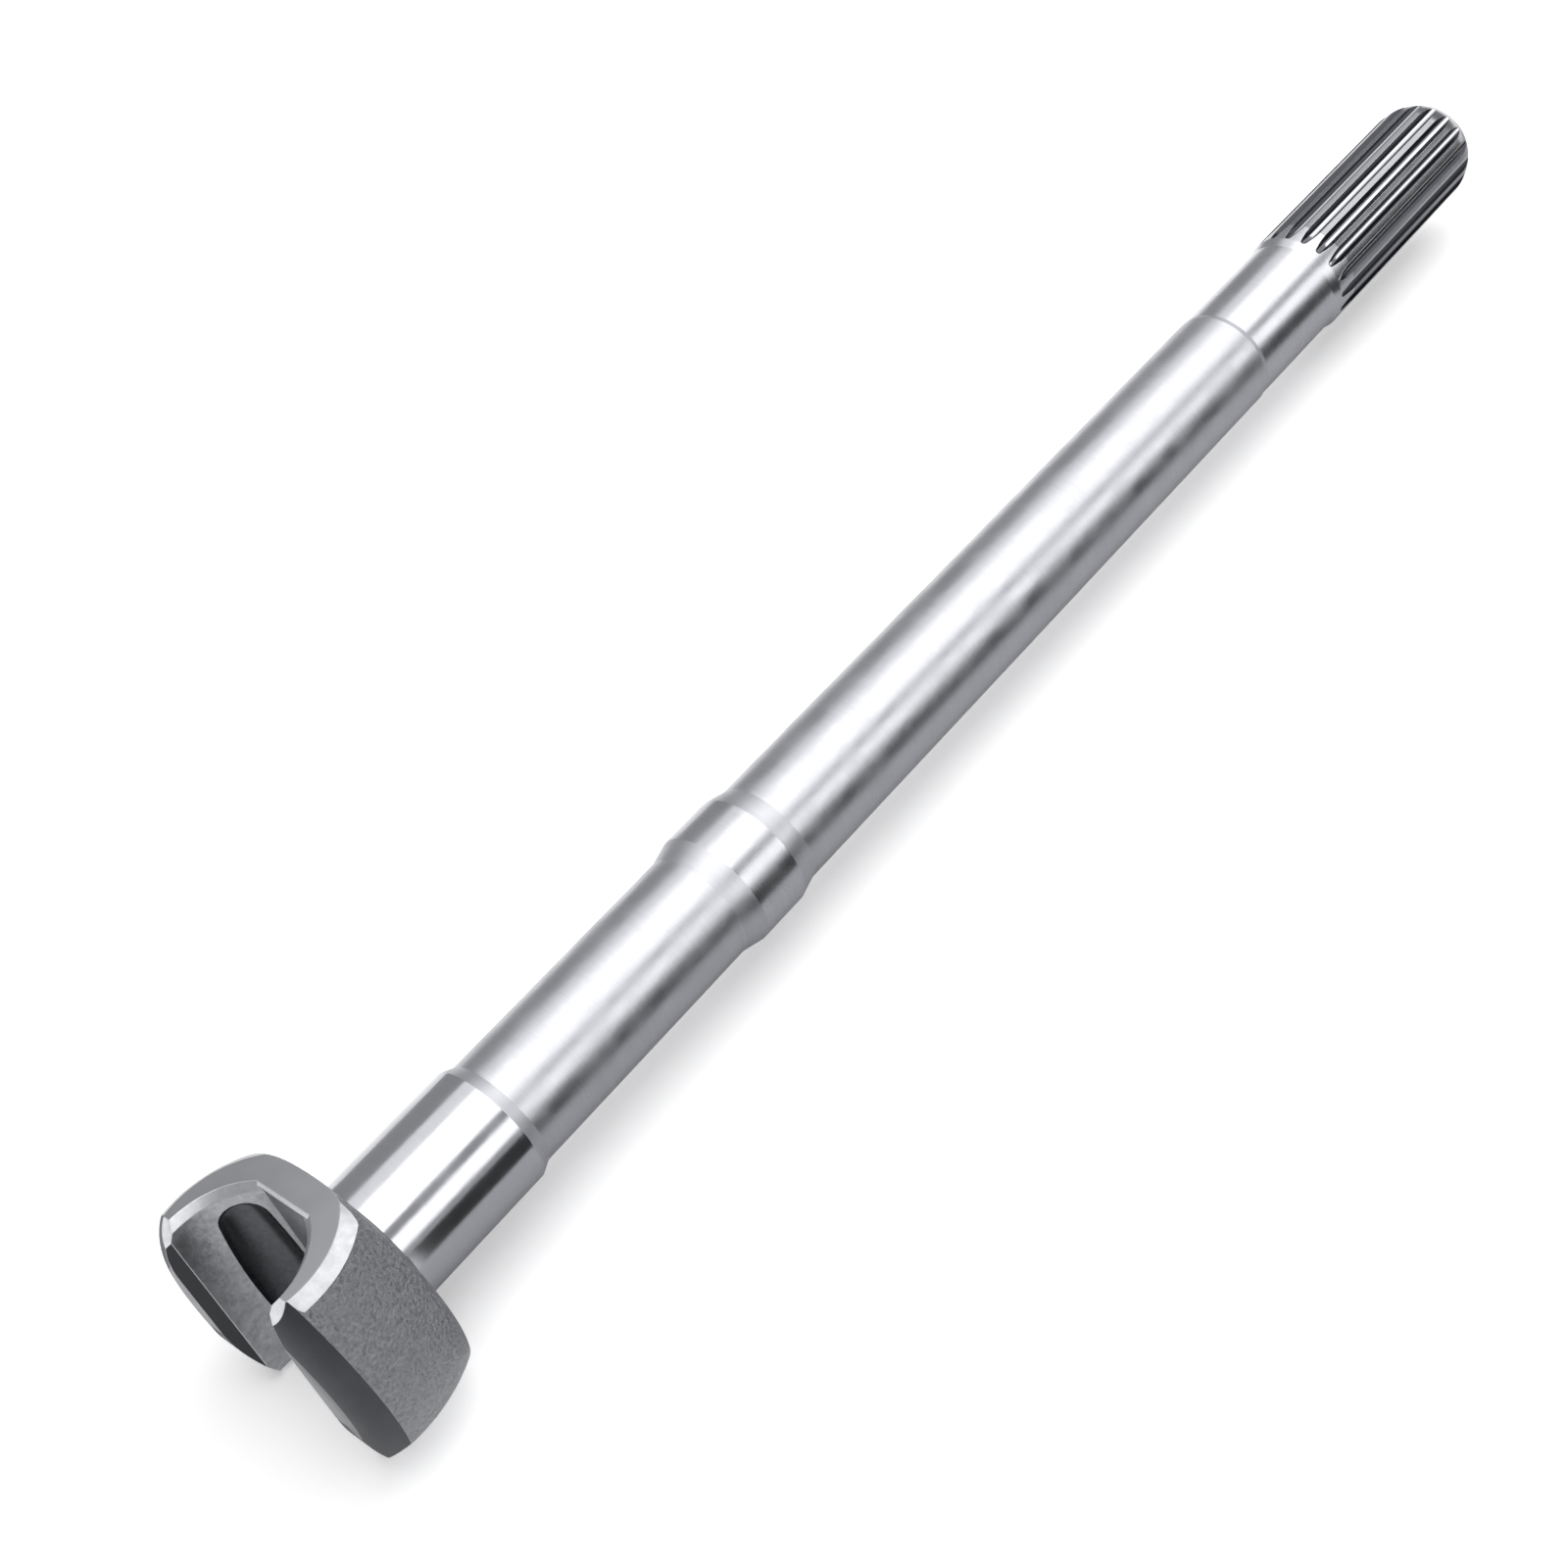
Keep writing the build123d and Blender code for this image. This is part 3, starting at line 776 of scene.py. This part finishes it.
# Matt white laminate: no gloss at all, so its colour is all that it gives.
floor_finish, tree = empty_finish("white_table")
paint = add(tree, "ShaderNodeBsdfDiffuse", None, {"Color": colour("F4F4F4")})
place = add(tree, "ShaderNodeTexCoord").outputs["Object"]
from_shaft = add(tree, "ShaderNodeVectorMath", {"operation": "DISTANCE"}, {
    0: place, 1: SHADOW_MIDDLE})
rising = add(tree, "ShaderNodeMapRange", {"interpolation_type": "SMOOTHSTEP"}, {
    "Value": from_shaft.outputs["Value"], "From Min": GLOW_START, "From Max": GLOW_END,
    "To Min": GLOW_NEAR, "To Max": GLOW_FAR})
ray = add(tree, "ShaderNodeLightPath").outputs
seen = ray["Is Camera Ray"]
for kind in ("Is Glossy Ray", "Is Transmission Ray"):
    seen = add(tree, "ShaderNodeMath", {"operation": "MAXIMUM"}, {0: seen, 1: ray[kind]}).outputs[0]
shown = add(tree, "ShaderNodeMath", {"operation": "MULTIPLY"}, {0: seen, 1: rising.outputs[0]})
glow = add(tree, "ShaderNodeEmission", None, {
    "Color": colour("FFFFFF"), "Strength": shown.outputs[0]})
both = add(tree, "ShaderNodeAddShader", None, {0: paint.outputs[0], 1: glow.outputs[0]})
add(tree, "ShaderNodeOutputMaterial", None, {"Surface": both.outputs[0]})
bm = bmesh.new()
bmesh.ops.create_grid(bm, x_segments=1, y_segments=1, size=FLOOR_HALF)
bmesh.ops.translate(bm, verts=bm.verts, vec=(FLOOR_MIDDLE_X, 0, -UNDER_FLAT_Z * MM - FLOOR_GAP))
floor = solid("floor", bm, floor_finish)

# Light
# Soft boxes as long as the shaft: a wide one overhead, a narrow one behind and a low one in
# front, whose reflections are the bright bands along the steel. A small one looks into the
# open side of the head, and the room is plain grey.
SHAFT_MIDDLE = Vector((0.75, 0, 0))
BOX_LENGTH = 1.9
# The grey of the room, as linear light
ROOM_GREY = (0.40, 0.40, 0.41, 1.0)


def beside(elevation, distance):
    """A place beside the shaft, at an elevation measured from the camera's side."""
    angle = math.radians(elevation)
    return SHAFT_MIDDLE + Vector((0, -math.cos(angle), math.sin(angle))) * distance


def soft_box(name, place, aim, length, width, strength):
    """A rectangular lamp at a place, facing its aim, that the camera itself doesn't see."""
    lamp = bpy.data.lights.new(name, "AREA")
    lamp.shape = "RECTANGLE"
    lamp.size = length
    lamp.size_y = width
    lamp.energy = strength * width * length * math.pi
    made = bpy.data.objects.new(name, lamp)
    away = (place - aim).normalized()
    across = Vector((0, 0, 1)).cross(away).normalized()
    turn = Matrix((across, away.cross(across), away)).transposed().to_4x4()
    made.matrix_world = Matrix.Translation(place) @ turn
    made.visible_camera = False
    bpy.context.scene.collection.objects.link(made)


soft_box("overhead_box", beside(elevation=77, distance=0.70), SHAFT_MIDDLE,
         length=BOX_LENGTH, width=0.70, strength=1.95)
soft_box("back_box", beside(elevation=116, distance=0.70), SHAFT_MIDDLE,
         length=BOX_LENGTH, width=0.30, strength=0.85)
soft_box("front_box", beside(elevation=22, distance=0.62), SHAFT_MIDDLE,
         length=BOX_LENGTH, width=0.26, strength=1.75)
soft_box("jaw_box", Vector((-0.58, 0.55, 0.14)), Vector((0, 0, 0.04)),
         length=0.5, width=0.3, strength=1.7)

world = bpy.data.worlds.new("room")
world.use_nodes = True
world.node_tree.nodes["Background"].inputs[0].default_value = ROOM_GREY
bpy.context.scene.world = world
bpy.context.scene.view_settings.view_transform = "Standard"

# Reflector cards
# Two long strips of matt card, in front of the shaft and under it. The dark one gives the
# polished steel its dark band, and the pale grey one tones down the white floor that would
# show in the shaft's lower side.


def card(name, code, near, far_edge, ends):
    """A long card between two (y, z) edges, seen only in reflections."""
    # Matt card: one flat grey, because it shows only as a blurred band in the steel
    cloth, tree = empty_finish(name + "_cloth")
    shader = add(tree, "ShaderNodeBsdfDiffuse", None, {"Color": colour(code)})
    add(tree, "ShaderNodeOutputMaterial", None, {"Surface": shader.outputs[0]})
    bm = bmesh.new()
    corners = [(ends[0], *near), (ends[1], *near), (ends[1], *far_edge), (ends[0], *far_edge)]
    bm.faces.new([bm.verts.new(Vector(corner) * MM) for corner in corners])
    made = solid(name, bm, cloth)
    made.visible_camera = False
    made.visible_diffuse = False
    made.visible_shadow = False


card("front_card", "404040", near=(-106, -43.5), far_edge=(-130, 9), ends=(72, 1000))
card("under_card", "B8B8BA", near=(-106, -43.5), far_edge=(95, -43.5), ends=(50, 1000))
